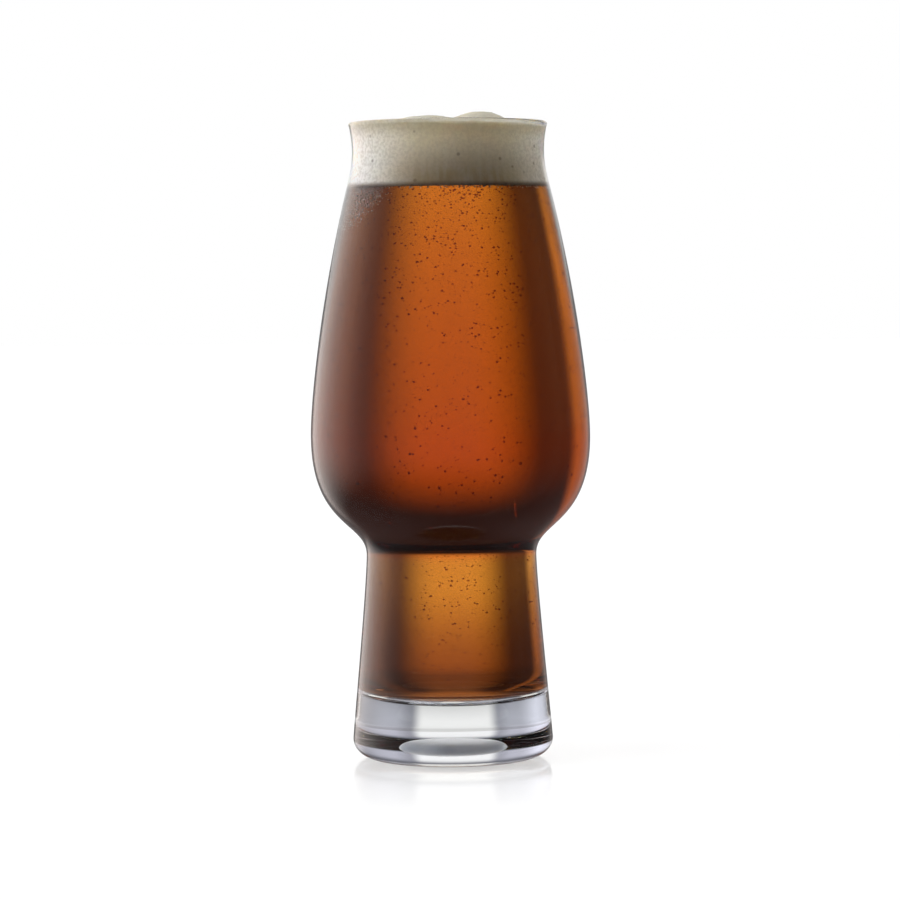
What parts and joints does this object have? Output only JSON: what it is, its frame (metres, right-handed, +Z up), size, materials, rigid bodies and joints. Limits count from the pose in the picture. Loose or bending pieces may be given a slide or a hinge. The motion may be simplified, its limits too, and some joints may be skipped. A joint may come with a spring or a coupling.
{
  "type": "beer glass",
  "caption": "Footed beer glass with a tulip bowl and flared lip on a thick clear base, filled with amber beer under a cream head of foam.",
  "frame": {"origin": "on the table, under the middle of the glass", "axes": "+Z up along the axis of the glass, +X to the viewer's right, -Y towards the viewer of the picture"},
  "size_m": [0.0818, 0.0818, 0.1887],
  "materials": {
    "clear_glass": "polished",
    "amber_beer": "gloss",
    "cream_foam": "matte"
  },
  "bodies": {
    "root": {"glass": "clear_glass", "beer": "amber_beer", "foam_head": "cream_foam"}
  },
  "joints": []
}
